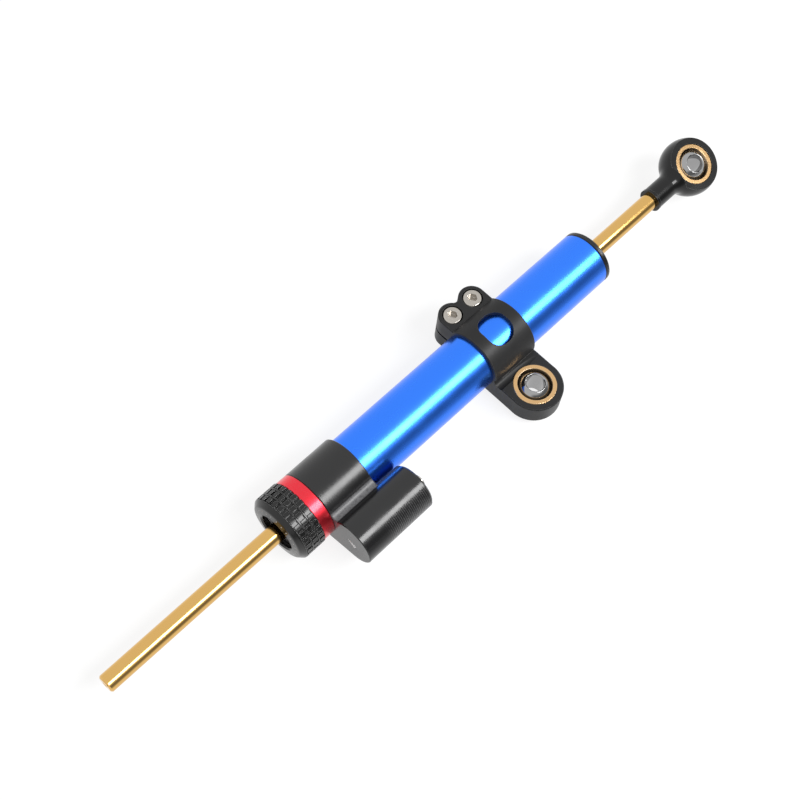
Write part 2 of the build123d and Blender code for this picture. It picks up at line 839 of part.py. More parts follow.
def mounting_clamp():
    """The clamp: a slit ring round the tube, with two ears, a window and an arm for the bearing."""
    half = clamp_width / 2
    clamp = damper_axis * edged_sleeve(0, clamp_radius, -half, half, clamp_edge)
    clamp += eye_arm()
    clamp += ears()
    clamp -= damper_axis * bar(tube_radius + seat_gap, -half - overrun, half + overrun)
    slit_reach = ear_reach + ear_radius + overrun
    slit = Box(clamp_width + ear_radius, slit_reach, slit_width)
    clamp -= Pos(0, axis_offset + slit_reach / 2, axis_height - slit_drop) * slit
    outline = RectangleRounded(window_width, window_length, window_corner)
    window = Pos(0, axis_offset - window_shift) * outline
    clamp -= Pos(0, 0, axis_height) * extrude(window, clamp_radius + overrun)
    clamp -= scallop()
    clamp -= Cylinder(race_radius, eye_thickness + overrun)
    for place in screw_places():
        clamp -= place * screw_pocket()
    return clamp


def scallop():
    """The milled hollow between the ring and the arm's top face, which runs out towards the rod end."""
    centre_y = axis_offset - clamp_radius - scallop_radius + scallop_bite
    centre_z = eye_thickness / 2 + scallop_radius - scallop_depth
    lean = Rot(0, 0, -scallop_swing) * Rot(0, 90 - scallop_tilt, 0)
    return Pos(0, centre_y, centre_z) * lean * Cylinder(scallop_radius, 2 * clamp_width)


def screw_pocket():
    """The counterbore and hole for a clamp screw, from the ear's top face down."""
    top = (Align.CENTER, Align.CENTER, Align.MAX)
    pocket = Cylinder(screw_head_radius + screw_pocket_gap, screw_head_height, align=top)
    pocket += Cylinder(screw_radius + screw_hole_gap, 2 * ear_height + overrun, align=top)
    from_the_foot = (Align.CENTER, Align.CENTER, Align.MIN)
    lid = Cylinder(screw_head_radius + screw_pocket_gap, overrun, align=from_the_foot)
    return pocket + lid


def clamp_screws():
    """The two socket head screws."""
    head = Pos(0, 0, -screw_head_height / 2) * Cylinder(screw_head_radius, screw_head_height)
    head = chamfer(head.edges().filter_by(GeomType.CIRCLE).sort_by(Axis.Z)[-1], screw_head_edge)
    shank_z = -screw_head_height - screw_length / 2
    screw = head + Pos(0, 0, shank_z) * Cylinder(screw_radius, screw_length)
    hexagon = RegularPolygon(screw_socket_radius, 6)
    socket = Pos(0, 0, -screw_socket_depth) * extrude(hexagon, screw_head_height)
    screw -= socket
    first, second = screw_places()
    return first * screw + second * screw


def build_pieces():
    """Every piece by name, in its place."""
    on_damper = [
        cylinder_tube,
        front_gland,
        front_gland_o_ring,
        front_bush,
        front_rod_seal,
        front_wiper,
        reservoir_block,
        tube_o_ring,
        rear_bush,
        rear_rod_seal,
        gland_nut,
        rear_wiper,
        index_ring,
        adjuster_knob,
        bypass_needle,
        needle_o_ring,
        detent_ball,
        detent_spring,
        piston_rod,
        piston_circlips,
        piston,
        piston_seal,
        piston_wear_ring,
    ]
    in_reservoir = [
        floating_piston,
        floating_piston_o_ring,
        reservoir_cap,
        reservoir_cap_o_ring,
        reservoir_circlip,
        fill_screw,
    ]
    pieces = {make.__name__: damper_axis * make() for make in on_damper}
    pieces.update({make.__name__: reservoir_axis * make() for make in in_reservoir})
    pieces["mounting_clamp"] = mounting_clamp()
    pieces["clamp_screws"] = clamp_screws()
    pieces["clamp_race"] = bearing_race()
    pieces["clamp_ball"] = bearing_ball()
    pieces["rod_end_housing"] = rod_end_place() * rod_end_housing()
    pieces["rod_end_race"] = rod_end_place() * bearing_race()
    pieces["rod_end_ball"] = rod_end_place() * bearing_ball()
    return pieces


os.makedirs("parts", exist_ok=True)
for name, piece in build_pieces().items():
    export_step(piece, f"parts/{name}.step")
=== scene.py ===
import logging
import math
from dataclasses import dataclass
from enum import Enum

import bmesh
import bpy
from mathutils import Matrix, Vector


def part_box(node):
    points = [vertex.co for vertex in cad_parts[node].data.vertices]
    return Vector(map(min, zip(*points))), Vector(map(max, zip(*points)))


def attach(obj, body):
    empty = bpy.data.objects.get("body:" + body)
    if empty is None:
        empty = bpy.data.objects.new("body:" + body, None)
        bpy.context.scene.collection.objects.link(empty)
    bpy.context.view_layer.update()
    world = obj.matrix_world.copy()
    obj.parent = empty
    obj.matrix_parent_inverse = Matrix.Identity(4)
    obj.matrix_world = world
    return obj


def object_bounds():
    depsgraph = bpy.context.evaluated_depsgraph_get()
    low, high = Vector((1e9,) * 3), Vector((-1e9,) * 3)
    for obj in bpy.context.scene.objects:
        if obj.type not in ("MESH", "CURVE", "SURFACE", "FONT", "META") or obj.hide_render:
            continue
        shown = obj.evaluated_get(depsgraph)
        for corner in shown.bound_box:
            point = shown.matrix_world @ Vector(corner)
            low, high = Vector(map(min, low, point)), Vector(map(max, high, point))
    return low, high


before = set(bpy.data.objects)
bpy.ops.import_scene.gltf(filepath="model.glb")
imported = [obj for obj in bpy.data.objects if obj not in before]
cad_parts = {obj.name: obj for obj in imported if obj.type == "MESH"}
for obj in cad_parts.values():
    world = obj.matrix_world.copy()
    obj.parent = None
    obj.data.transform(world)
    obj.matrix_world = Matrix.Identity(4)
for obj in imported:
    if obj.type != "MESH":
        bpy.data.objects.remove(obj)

log = logging.getLogger("steering_damper")

MM = 0.001
CAD_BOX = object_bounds()

RGB = tuple[float, float, float]
Point = tuple[float, float, float]
Number = float | bpy.types.NodeSocket

QUARTER_TURN = math.pi / 2
WHITE: RGB = (1.0, 1.0, 1.0)

# What the finishes share: their dust, the least roughness, the noise that it follows and the coat
DUST_COLOUR: RGB = (0.7, 0.7, 0.7)
SMOOTHEST = 0.02
SMOOTH_NOISE = 0.3
ROUGH_NOISE = 0.7
COAT_ROUGHNESS = 0.12


class Body(Enum):
    """The moving bodies that carry a marking."""

    DAMPER = "damper_body"
    ADJUSTER = "adjuster"


class TurningAxis(Enum):
    """The axis that a turned piece's tool marks run round."""

    ALONG_X = "X"
    ALONG_Z = "Z"


class SocketKind(Enum):
    """The kinds of socket that the node groups have."""

    NUMBER = "NodeSocketFloat"
    WHOLE = "NodeSocketInt"
    VECTOR = "NodeSocketVector"
    GEOMETRY = "NodeSocketGeometry"


@dataclass(frozen=True)
class PieceBox:
    """The box of one CAD node, in metres."""

    low: Vector
    high: Vector

    @classmethod
    def of(cls, node: str) -> "PieceBox":
        """Reads a node's box.

        Args:
            node: The CAD node's name.

        Returns:
            The node's box at rest.
        """
        low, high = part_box(node)
        return cls(Vector(low), Vector(high))

    @property
    def centre(self) -> Vector:
        """The middle of the box."""
        return (self.low + self.high) / 2


@dataclass(frozen=True)
class Ramp:
    """A smooth change from one value to another, held outside its ends.

    Attributes:
        start: Where the change starts.
        end: Where the change ends.
        before: The result before the start.
        after: The result after the end.
    """

    start: float
    end: float
    before: float = 0.0
    after: float = 1.0


def opaque(colour: RGB) -> tuple[float, float, float, float]:
    """A colour with full alpha."""
    return (*colour, 1.0)


class Wiring:
    """A node tree under construction: adds nodes and links their sockets.

    Attributes:
        FIRST_COLOUR: The place of a Mix node's first colour among its inputs.
        SECOND_COLOUR: The place of its second colour among its inputs.
        MIXED_COLOUR: The place of the mixed colour among its outputs.
        tree: The tree that the nodes go into.
    """

    FIRST_COLOUR = 6
    SECOND_COLOUR = 7
    MIXED_COLOUR = 2

    def __init__(self, tree: bpy.types.NodeTree) -> None:
        """Keeps the tree.

        Args:
            tree: The tree that the nodes go into.
        """
        self.tree = tree

    def add(self, kind: str, **settings: object) -> bpy.types.Node:
        """Adds a node.

        Args:
            kind: The node's type name.
            settings: The node's own properties.

        Returns:
            The new node.
        """
        node = self.tree.nodes.new(kind)
        for name, value in settings.items():
            setattr(node, name, value)
        return node

    def link(self, source: bpy.types.NodeSocket, target: bpy.types.NodeSocket) -> None:
        """Joins an output to an input."""
        self.tree.links.new(source, target)

    def feed(self, target: bpy.types.NodeSocket, value: object) -> None:
        """Sets an input, or links it to another node's output.

        Args:
            target: The input socket.
            value: A socket to link, or the value to set.
        """
        if isinstance(value, bpy.types.NodeSocket):
            self.link(value, target)
        else:
            target.default_value = value

    def maths(self, operation: str, *values: Number, clamp: bool = False) -> bpy.types.NodeSocket:
        """Adds a Math node.

        Args:
            operation: The Math node's operation.
            values: Its inputs, as numbers or sockets.
            clamp: Whether the result stays between 0 and 1.

        Returns:
            The node's output.
        """
        node = self.add("ShaderNodeMath", operation=operation, use_clamp=clamp)
        for place, value in enumerate(values):
            self.feed(node.inputs[place], value)
        return node.outputs[0]

    def ramped(self, value: bpy.types.NodeSocket, ramp: Ramp) -> bpy.types.NodeSocket:
        """Maps a value smoothly along a ramp.

        Args:
            value: The socket to map.
            ramp: The change that it goes through.

        Returns:
            The mapped value.
        """
        node = self.add("ShaderNodeMapRange", interpolation_type="SMOOTHSTEP")
        self.link(value, node.inputs["Value"])
        node.inputs["From Min"].default_value = ramp.start
        node.inputs["From Max"].default_value = ramp.end
        node.inputs["To Min"].default_value = ramp.before
        node.inputs["To Max"].default_value = ramp.after
        return node.outputs["Result"]

    def blended(
        self, share: bpy.types.NodeSocket, first: object, second: object
    ) -> bpy.types.NodeSocket:
        """Mixes two colours.

        Args:
            share: How much of the second colour shows.
            first: The first colour, or its socket.
            second: The second colour, or its socket.

        Returns:
            The mixed colour.
        """
        node = self.add("ShaderNodeMix", data_type="RGBA")
        self.link(share, node.inputs["Factor"])
        self.feed(node.inputs[self.FIRST_COLOUR], first)
        self.feed(node.inputs[self.SECOND_COLOUR], second)
        return node.outputs[self.MIXED_COLOUR]

    def axes(self, vector: bpy.types.NodeSocket) -> bpy.types.bpy_prop_collection:
        """Splits a vector.

        Args:
            vector: The vector's socket.

        Returns:
            The outputs X, Y and Z.
        """
        node = self.add("ShaderNodeSeparateXYZ")
        self.link(vector, node.inputs[0])
        return node.outputs

    def noise(self, vector: bpy.types.NodeSocket, scale: Number, detail: float) -> bpy.types.NodeSocket:
        """Adds cloudy noise.

        Args:
            vector: The coordinates that it reads.
            scale: How fine it is.
            detail: How many finer layers it has.

        Returns:
            The noise, as a number.
        """
        node = self.add("ShaderNodeTexNoise")
        self.link(vector, node.inputs["Vector"])
        self.feed(node.inputs["Scale"], scale)
        node.inputs["Detail"].default_value = detail
        return node.outputs["Fac"]

    def raised(
        self, height: bpy.types.NodeSocket, distance: float, normal: bpy.types.NodeSocket
    ) -> bpy.types.NodeSocket:
        """Tilts a normal by a height map.

        Args:
            height: The height map.
            distance: How high its highest places stand, in metres.
            normal: The normal before it.

        Returns:
            The tilted normal.
        """
        node = self.add("ShaderNodeBump")
        node.inputs["Distance"].default_value = distance
        self.link(height, node.inputs["Height"])
        self.link(normal, node.inputs["Normal"])
        return node.outputs["Normal"]

    def effect(
        self, group: bpy.types.NodeTree, place: bpy.types.NodeSocket, values: dict[str, float]
    ) -> bpy.types.bpy_prop_collection:
        """Places a shared group.

        Args:
            group: The shared group.
            place: The coordinates that it reads.
            values: Its other inputs.

        Returns:
            The group's outputs.
        """
        node = self.add("ShaderNodeGroup", node_tree=group)
        self.link(place, node.inputs["Vector"])
        for name, value in values.items():
            node.inputs[name].default_value = value
        return node.outputs


class EffectGroup:
    """A shader node group under construction, with a Vector input, number inputs and named outputs."""

    def __init__(self, name: str, numbers: dict[str, float], results: dict[str, SocketKind]) -> None:
        """Makes the group and its sockets.

        Args:
            name: The group's name.
            numbers: Its number inputs and their defaults.
            results: Its outputs and their kinds.
        """
        self.tree = bpy.data.node_groups.new(name, "ShaderNodeTree")
        sockets = self.tree.interface
        sockets.new_socket("Vector", in_out="INPUT", socket_type=SocketKind.VECTOR.value)
        for label, default in numbers.items():
            socket = sockets.new_socket(label, in_out="INPUT", socket_type=SocketKind.NUMBER.value)
            socket.default_value = default
        for label, kind in results.items():
            sockets.new_socket(label, in_out="OUTPUT", socket_type=kind.value)
        self.wiring = Wiring(self.tree)
        self._entry = self.wiring.add("NodeGroupInput")
        self._exit = self.wiring.add("NodeGroupOutput")

    def given(self, name: str) -> bpy.types.NodeSocket:
        """The socket of one of the group's inputs."""
        return self._entry.outputs[name]

    def give(self, name: str, result: bpy.types.NodeSocket) -> None:
        """Links one of the group's outputs."""
        self.wiring.link(result, self._exit.inputs[name])


@dataclass(frozen=True)
class ToolMarks:
    """Fine rings round a turned piece: the place along X drives noise in one dimension.

    Attributes:
        per_metre: How many fine marks lie along a metre, unless a finish says otherwise.
        coarse_height: The coarse marks' height as a share of the fine ones'.
        number_shares: The number of fine and of coarse marks, as shares of that number.
        detail: How many finer layers the noise has.
    """

    per_metre: float = 6000.0
    coarse_height: float = 0.25
    number_shares: tuple[float, float] = (1.0, 0.23)
    detail: float = 3.0

    def build(self) -> bpy.types.NodeTree:
        """Makes the group.

        Returns:
            The group, which puts out Height.
        """
        numbers = {"Per Metre": self.per_metre, "Coarse": self.coarse_height}
        group = EffectGroup("tool_marks", numbers, {"Height": SocketKind.NUMBER})
        wiring = group.wiring
        along = wiring.axes(group.given("Vector"))["X"]
        heights = []
        for share in self.number_shares:
            node = wiring.add("ShaderNodeTexNoise", noise_dimensions="1D")
            per_metre = wiring.maths("MULTIPLY", group.given("Per Metre"), share)
            wiring.link(wiring.maths("MULTIPLY", along, per_metre), node.inputs["W"])
            node.inputs["Detail"].default_value = self.detail
            heights.append(node.outputs["Fac"])
        fine, coarse = heights
        coarse = wiring.maths("MULTIPLY", coarse, group.given("Coarse"))
        group.give("Height", wiring.maths("ADD", fine, coarse))
        return group.tree


@dataclass(frozen=True)
class EdgeWear:
    """A mask of the edges: where the rounded normal leaves the flat one, broken up by noise.

    Attributes:
        radius: The radius that edges look rounded to, in metres, unless a finish says otherwise.
        strength: How strongly the edges show, unless a finish says otherwise.
        samples: How finely the rounding is worked out.
        edge: From how far the two normals agree to how much of an edge it is.
        grain: How fine the noise is.
        detail: How many finer layers the noise has.
        breaks: From the noise to how much of the wear is left.
    """

    radius: float = 0.2 * MM
    strength: float = 0.6
    samples: int = 6
    edge: Ramp = Ramp(0.99, 0.9)
    grain: float = 900.0
    detail: float = 2.0
    breaks: Ramp = Ramp(0.35, 0.65, before=0.4)

    def build(self) -> bpy.types.NodeTree:
        """Makes the group.

        Returns:
            The group, which puts out Mask and Normal.
        """
        numbers = {"Radius": self.radius, "Strength": self.strength}
        results = {"Mask": SocketKind.NUMBER, "Normal": SocketKind.VECTOR}
        group = EffectGroup("edge_wear", numbers, results)
        wiring = group.wiring
        rounded = wiring.add("ShaderNodeBevel", samples=self.samples)
        wiring.link(group.given("Radius"), rounded.inputs["Radius"])
        surface = wiring.add("ShaderNodeNewGeometry")
        agreement = wiring.add("ShaderNodeVectorMath", operation="DOT_PRODUCT")
        wiring.link(rounded.outputs[0], agreement.inputs[0])
        wiring.link(surface.outputs["Normal"], agreement.inputs[1])
        edge = wiring.ramped(agreement.outputs["Value"], self.edge)
        noise = wiring.noise(group.given("Vector"), self.grain, self.detail)
        broken = wiring.maths("MULTIPLY", edge, wiring.ramped(noise, self.breaks))
        group.give("Mask", wiring.maths("MULTIPLY", broken, group.given("Strength")))
        group.give("Normal", rounded.outputs[0])
        return group.tree


@dataclass(frozen=True)
class DustSpecks:
    """A few tiny pale specks: the hearts of some Voronoi cells.

    Attributes:
        cells: How many cells lie along a metre.
        share: The share of the cells with a speck, unless a finish says otherwise.
        speck: From the distance to a cell's heart to how much of a speck it is.
    """

    cells: float = 220.0
    share: float = 0.05
    speck: Ramp = Ramp(0.02, 0.05, before=1.0, after=0.0)

    def build(self) -> bpy.types.NodeTree:
        """Makes the group.

        Returns:
            The group, which puts out Mask.
        """
        numbers = {"Cells": self.cells, "Share": self.share}
        group = EffectGroup("dust", numbers, {"Mask": SocketKind.NUMBER})
        wiring = group.wiring
        cells = wiring.add("ShaderNodeTexVoronoi")
        wiring.link(group.given("Vector"), cells.inputs["Vector"])
        wiring.link(group.given("Cells"), cells.inputs["Scale"])
        near = wiring.ramped(cells.outputs["Distance"], self.speck)
        tone = wiring.add("ShaderNodeSeparateColor")
        wiring.link(cells.outputs["Color"], tone.inputs[0])
        chosen = wiring.maths("LESS_THAN", tone.outputs["Red"], group.given("Share"))
        group.give("Mask", wiring.maths("MULTIPLY", near, chosen))
        return group.tree


@dataclass(frozen=True)
class Clouding:
    """Slow change over a surface, for a finish that isn't the same all over.

    Attributes:
        scale: How fine the clouds are.
        detail: How many finer layers they have.
    """

    scale: float = 90.0
    detail: float = 5.0

    def build(self) -> bpy.types.NodeTree:
        """Makes the group.

        Returns:
            The group, which puts out Value.
        """
        group = EffectGroup("clouding", {"Scale": self.scale}, {"Value": SocketKind.NUMBER})
        group.give("Value", group.wiring.noise(group.given("Vector"), group.given("Scale"), self.detail))
        return group.tree


@dataclass(frozen=True)
class Machining:
    """The masks of the block's two milled places.

    One is a valley between the two barrels, rougher and with a painted highlight, and the other is ripples
    on the small one's outer side.

    Attributes:
        half_width: Half the valley's width, in metres.
        pitch: The distance from one ripple to the next, in metres.
        valley: From the distance to the valley's middle, as a share of its half width, to the mask.
        above: From Z to the valley's mask, so that only the upper side has it.
        grain: How fine the noise is that breaks both places up.
        detail: How many finer layers that noise has.
        scuff_and_sheen_breaks: From the noise to how much of the valley's scuffing and painted highlight is
            left.
        outer_side: From the distance past the ripples' edge, towards -Y, to their strength.
        run_in: From the distance past the ripples' start, towards +X, to their strength.
        ripple_breaks: From the noise to how much of the ripples is left.
    """

    half_width: float = 2.2 * MM
    pitch: float = 0.9 * MM
    valley: Ramp = Ramp(0.7, 1.0, before=1.0, after=0.0)
    above: Ramp = Ramp(4.0 * MM, 6.0 * MM)
    grain: float = 1500.0
    detail: float = 4.0
    scuff_and_sheen_breaks: Ramp = Ramp(0.3, 0.6, before=0.5)
    outer_side: Ramp = Ramp(0.0, 3.0 * MM)
    run_in: Ramp = Ramp(0.0, 6.0 * MM)
    ripple_breaks: Ramp = Ramp(0.35, 0.6, before=0.3, after=0.9)

    def build(self) -> bpy.types.NodeTree:
        """Makes the group.

        Returns:
            The group, which puts out the valley's mask, for its scuffing and painted highlight, and
            Ripples.
        """
        numbers = {
            "Valley": 0.0,
            "Half Width": self.half_width,
            "Ripple Edge": 0.0,
            "Ripple Start": 0.0,
            "Pitch": self.pitch,
        }
        results = {"Scuff And Sheen": SocketKind.NUMBER, "Ripples": SocketKind.NUMBER}
        group = EffectGroup("machining", numbers, results)
        wiring = group.wiring
        place = wiring.axes(group.given("Vector"))
        noise = wiring.noise(group.given("Vector"), self.grain, self.detail)

        aside = wiring.maths("SUBTRACT", place["Y"], group.given("Valley"))
        aside = wiring.maths("DIVIDE", wiring.maths("ABSOLUTE", aside), group.given("Half Width"))
        inside = wiring.ramped(aside, self.valley)
        above = wiring.ramped(place["Z"], self.above)
        broken = wiring.ramped(noise, self.scuff_and_sheen_breaks)
        # this valley mask drives both the roughening and the painted highlight
        valley = wiring.maths("MULTIPLY", inside, above)
        group.give("Scuff And Sheen", wiring.maths("MULTIPLY", valley, broken))

        past_edge = wiring.maths("SUBTRACT", group.given("Ripple Edge"), place["Y"])
        outside = wiring.ramped(past_edge, self.outer_side)
        past_start = wiring.maths("SUBTRACT", place["X"], group.given("Ripple Start"))
        strength = wiring.maths("MULTIPLY", outside, wiring.ramped(past_start, self.run_in))
        strength = wiring.maths("MULTIPLY", strength, wiring.ramped(noise, self.ripple_breaks))
        turns = wiring.maths("DIVIDE", place["X"], group.given("Pitch"))
        wave = wiring.maths("SINE", wiring.maths("MULTIPLY", turns, math.tau))
        group.give("Ripples", wiring.maths("MULTIPLY", wave, strength))
        return group.tree


class SharedEffects:
    """The node groups that the finishes share, each built once."""

    def __init__(self) -> None:
        """Builds every group."""
        self.tool_marks = ToolMarks().build()
        self.edge_wear = EdgeWear().build()
        self.dust = DustSpecks().build()
        self.clouding = Clouding().build()
        self.machining = Machining().build()


@dataclass
class Look:
    """A material on its way to its shader.

    Attributes:
        wiring: The material's wiring.
        effects: The shared node groups.
        place: Object coordinates.
        colour: The colour so far.
        rough: The roughness so far.
        normal: The normal so far.
    """

    wiring: Wiring
    effects: SharedEffects
    place: bpy.types.NodeSocket
    colour: bpy.types.NodeSocket
    rough: bpy.types.NodeSocket
    normal: bpy.types.NodeSocket


@dataclass(frozen=True)
class PaintedShadeInRaceMouth:
    """Painted shade in a bearing race's hollow mouth, round the ball.

    Attributes:
        race: The race's CAD node.
        rim: How far the rim of its flat face lies from the bearing's centre.
        fade: How wide the change at the rim is.
        colour: The painted shade's colour, linear.
    """

    race: str
    rim: float = 9.25 * MM
    fade: float = 0.5 * MM
    # painted shade: the colour that the race's hollow mouth is darkened to
    colour: RGB = (0.10, 0.075, 0.05)

    def add_to(self, look: Look) -> None:
        """Paints shade on everything nearer to the bearing's centre than the rim.

        Args:
            look: The race's look, which this changes.
        """
        gap = look.wiring.add("ShaderNodeVectorMath", operation="DISTANCE")
        look.wiring.link(look.place, gap.inputs[0])
        gap.inputs[1].default_value = PieceBox.of(self.race).centre
        edge = Ramp(self.rim - self.fade, self.rim, before=1.0, after=0.0)
        # painted shade: the race's hollow mouth inside the rim is darkened
        mouth = look.wiring.ramped(gap.outputs["Value"], edge)
        look.colour = look.wiring.blended(mouth, look.colour, opaque(self.colour))


@dataclass(frozen=True)
class MilledPlaces:
    """The block's valley between the two barrels, rougher with a painted highlight, and its ripples on the
    small one's outer side.

    Attributes:
        valley_share: The valley's place, as a share of the way from the tube's axis to the reservoir's.
        ripple_aside: How far past the reservoir's axis, towards -Y, the ripples begin.
        ripple_gap: How far past the red ring, towards +X, they begin.
        ripple_height: How high they stand.
        crest_sheen_share: How much of the painted highlight's paler colour their crests take.
        colour: The paler colour of the valley and the ripples' crests, a painted highlight, linear.
        roughening: How much rougher the valley's scuffing makes the metal.
    """

    valley_share: float = 0.575
    ripple_aside: float = 4.0 * MM
    ripple_gap: float = 10.0 * MM
    ripple_height: float = 0.06 * MM
    crest_sheen_share: float = 0.45
    # painted highlight: the paler colour of the valley and the ripples' crests
    colour: RGB = (0.13, 0.13, 0.135)
    roughening: float = 0.2

    def add_to(self, look: Look) -> None:
        """Adds both milled places.

        Args:
            look: The block's look, which this changes.
        """
        tube = PieceBox.of("cylinder_tube").centre
        reservoir = PieceBox.of("reservoir_cap").centre
        places = {
            "Valley": tube.y + (reservoir.y - tube.y) * self.valley_share,
            "Ripple Edge": reservoir.y - self.ripple_aside,
            "Ripple Start": PieceBox.of("index_ring").high.x + self.ripple_gap,
        }
        wiring = look.wiring
        milled = wiring.effect(look.effects.machining, look.place, places)
        scuff_and_sheen = milled["Scuff And Sheen"]
        # painted highlight: the valley and the ripples' crests are blended towards the paler colour
        crests = wiring.maths("MULTIPLY", milled["Ripples"], self.crest_sheen_share, clamp=True)
        for share in (scuff_and_sheen, crests):
            look.colour = wiring.blended(share, look.colour, opaque(self.colour))
        look.rough = wiring.maths("ADD", look.rough, wiring.maths("MULTIPLY", scuff_and_sheen, self.roughening))
        look.normal = wiring.raised(milled["Ripples"], self.ripple_height, look.normal)


@dataclass(frozen=True)
class Finish:
    """A surface finish: a Principled shader with tool marks, worn edges, dust and clouding.

    Attributes:
        name: The material's name.
        colour: The base colour, linear.
        metallic: 1 for bare or dyed metal, 0 for rubber, plastic and black anodising.
        roughness: The roughness before it varies.
        worn_colour: The colour along the edges.
        wear: How strongly the edges show.
        marks: The height of the tool marks, in metres.
        marks_per_metre: How many tool marks lie along a metre.
        dust: The share of dust cells that show.
        variation: How far the roughness goes up and down.
        edge: The radius that edges look rounded to, in metres.
        specular: The specular level of a surface that isn't metallic.
        coat: The weight of a clear coat.
        turning: The axis that the tool marks run round.
        extra: What only one piece's surface has.
    """

    name: str
    colour: RGB
    metallic: float = 1.0
    roughness: float = 0.3
    worn_colour: RGB = (0.8, 0.8, 0.8)
    wear: float = 0.3
    marks: float = 0.004 * MM
    marks_per_metre: float = 6000.0
    dust: float = 0.0
    variation: float = 0.05
    edge: float = 0.2 * MM
    specular: float = 0.5
    coat: float = 0.0
    turning: TurningAxis = TurningAxis.ALONG_X
    extra: PaintedShadeInRaceMouth | MilledPlaces | None = None

    def build(self, effects: SharedEffects) -> bpy.types.Material:
        """Builds the material.

        Args:
            effects: The shared node groups.

        Returns:
            The finished material.
        """
        material = bpy.data.materials.new(self.name)
        material.use_nodes = True
        look = self._look(Wiring(material.node_tree), effects)
        if self.extra:
            self.extra.add_to(look)
        shader = material.node_tree.nodes["Principled BSDF"]
        look.wiring.link(look.colour, shader.inputs["Base Color"])
        look.wiring.link(look.rough, shader.inputs["Roughness"])
        look.wiring.link(look.normal, shader.inputs["Normal"])
        shader.inputs["Metallic"].default_value = self.metallic
        shader.inputs["Specular IOR Level"].default_value = self.specular
        shader.inputs["Coat Weight"].default_value = self.coat
        shader.inputs["Coat Roughness"].default_value = COAT_ROUGHNESS
        return material

    def _look(self, wiring: Wiring, effects: SharedEffects) -> Look:
        """Makes the colour, roughness and normal that every finish has.

        Args:
            wiring: The material's wiring.
            effects: The shared node groups.

        Returns:
            The look, without what only one piece has.
        """
        place = wiring.add("ShaderNodeTexCoord").outputs["Object"]
        along = self._along_axis(wiring, place)
        wear = wiring.effect(effects.edge_wear, place, {"Radius": self.edge, "Strength": self.wear})
        marks = wiring.effect(effects.tool_marks, along, {"Per Metre": self.marks_per_metre})
        clouds = wiring.effect(effects.clouding, place, {})

        colour = wiring.blended(wear["Mask"], opaque(self.colour), opaque(self.worn_colour))
        if self.dust:
            specks = wiring.effect(effects.dust, place, {"Share": self.dust})
            colour = wiring.blended(specks["Mask"], colour, opaque(DUST_COLOUR))
        smoothest = max(self.roughness - self.variation, SMOOTHEST)
        clouded = Ramp(SMOOTH_NOISE, ROUGH_NOISE, before=smoothest, after=self.roughness + self.variation)
        rough = wiring.ramped(clouds["Value"], clouded)
        normal = wiring.raised(marks["Height"], self.marks, wear["Normal"])
        return Look(wiring, effects, place, colour, rough, normal)

    def _along_axis(self, wiring: Wiring, place: bpy.types.NodeSocket) -> bpy.types.NodeSocket:
        """Turns the coordinates so that X runs along the piece's own axis.

        Args:
            wiring: The material's wiring.
            place: Object coordinates.

        Returns:
            The turned coordinates.
        """
        if self.turning is TurningAxis.ALONG_X:
            return place
        turn = wiring.add("ShaderNodeMapping")
        turn.inputs["Rotation"].default_value = (0.0, QUARTER_TURN, 0.0)
        wiring.link(place, turn.inputs["Vector"])
        return turn.outputs[0]


BLUE = Finish(
    "blue_anodised_tube",
    (0.045, 0.225, 1.0),
    roughness=0.27,
    wear=0.1,
    marks=0.005 * MM,
    marks_per_metre=2400.0,
    variation=0.02,
)
BLACK = Finish(
    "black_anodised_turned",
    (0.006, 0.006, 0.0065),
    metallic=0.0,
    roughness=0.27,
    worn_colour=(0.16, 0.16, 0.16),
    marks=0.008 * MM,
    dust=0.05,
)
BLACK_BLOCK = Finish(
    "black_anodised_block",
    (0.006, 0.006, 0.0065),
    metallic=0.0,
    roughness=0.21,
    worn_colour=(0.2, 0.2, 0.2),
    marks=0.008 * MM,
    dust=0.05,
    specular=0.55,
    # the milled places carry a painted highlight on the valley and on the ripples' crests
    extra=MilledPlaces(),
)
BLACK_CLAMP = Finish(
    "black_anodised_clamp",
    (0.021, 0.021, 0.0215),
    metallic=0.0,
    roughness=0.4,
    worn_colour=(0.3, 0.3, 0.3),
    wear=0.5,
    dust=0.06,
    specular=0.2,
    turning=TurningAxis.ALONG_Z,
)
BLACK_ROD_END = Finish(
    "black_anodised_rod_end",
    (0.004, 0.004, 0.0042),
    metallic=0.0,
    roughness=0.12,
    worn_colour=(0.3, 0.3, 0.3),
    wear=0.5,
    marks=0.001 * MM,
    dust=0.05,
    specular=0.36,
    turning=TurningAxis.ALONG_Z,
)
BLACK_KNOB = Finish(
    "black_anodised_knob",
    (0.005, 0.005, 0.005),
    metallic=0.0,
    roughness=0.16,
    worn_colour=(0.45, 0.45, 0.45),
    wear=0.8,
    specular=0.45,
)
RED = Finish(
    "red_anodised_ring",
    (0.82, 0.03, 0.05),
    worn_colour=(0.9, 0.35, 0.4),
    wear=0.2,
    coat=0.45,
)
GOLD = Finish(
    "gold_rod",
    (0.70, 0.43, 0.14),
    roughness=0.1,
    worn_colour=(0.9, 0.75, 0.4),
    wear=0.4,
    marks=0.0001 * MM,
    variation=0.03,
)
STEEL = Finish(
    "stainless_screw",
    (0.47, 0.44, 0.4),
    roughness=0.16,
    worn_colour=(0.95, 0.93, 0.9),
    wear=1.0,
    marks=0.001 * MM,
)
BRONZE = Finish(
    "bronze_bush",
    (0.58, 0.37, 0.16),
    roughness=0.2,
    worn_colour=(1.0, 0.85, 0.6),
    wear=0.5,
)
